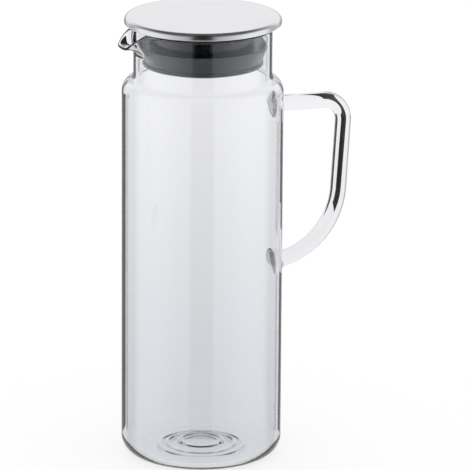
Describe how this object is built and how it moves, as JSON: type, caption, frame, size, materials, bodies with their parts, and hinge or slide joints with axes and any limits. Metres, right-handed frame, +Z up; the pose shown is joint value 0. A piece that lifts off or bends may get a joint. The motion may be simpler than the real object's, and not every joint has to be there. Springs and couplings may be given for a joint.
{
  "type": "juice pitcher",
  "caption": "Tall clear glass jug with a short neck, pouring lip and fused rod handle, closed by a lift-out stopper lid with a round steel cover and a soft packing ring.",
  "frame": {"origin": "centre of the underside of the jug's base, on the plane it stands on", "axes": "+Z up along the jug's axis, +X towards the handle, -X towards the pouring lip"},
  "size_m": [0.1393, 0.09, 0.2534],
  "materials": {
    "clear_glass": "clear, fire-polished",
    "satin_steel": "satin",
    "dark_plastic": "satin",
    "smoke_plastic": "gloss",
    "grey_silicone": "smooth"
  },
  "bodies": {
    "jug": {"glass_body": "clear_glass", "glass_handle": "clear_glass"},
    "lid": {"lid_cover": "satin_steel", "lid_disc": "dark_plastic", "stopper": "smoke_plastic", "packing_ring": "grey_silicone"}
  },
  "joints": [
    {"name": "lid_lift", "type": "slide", "parent": "jug", "child": "lid", "axis": [0, 0, 1], "range_m": [0, 0.06]}
  ]
}
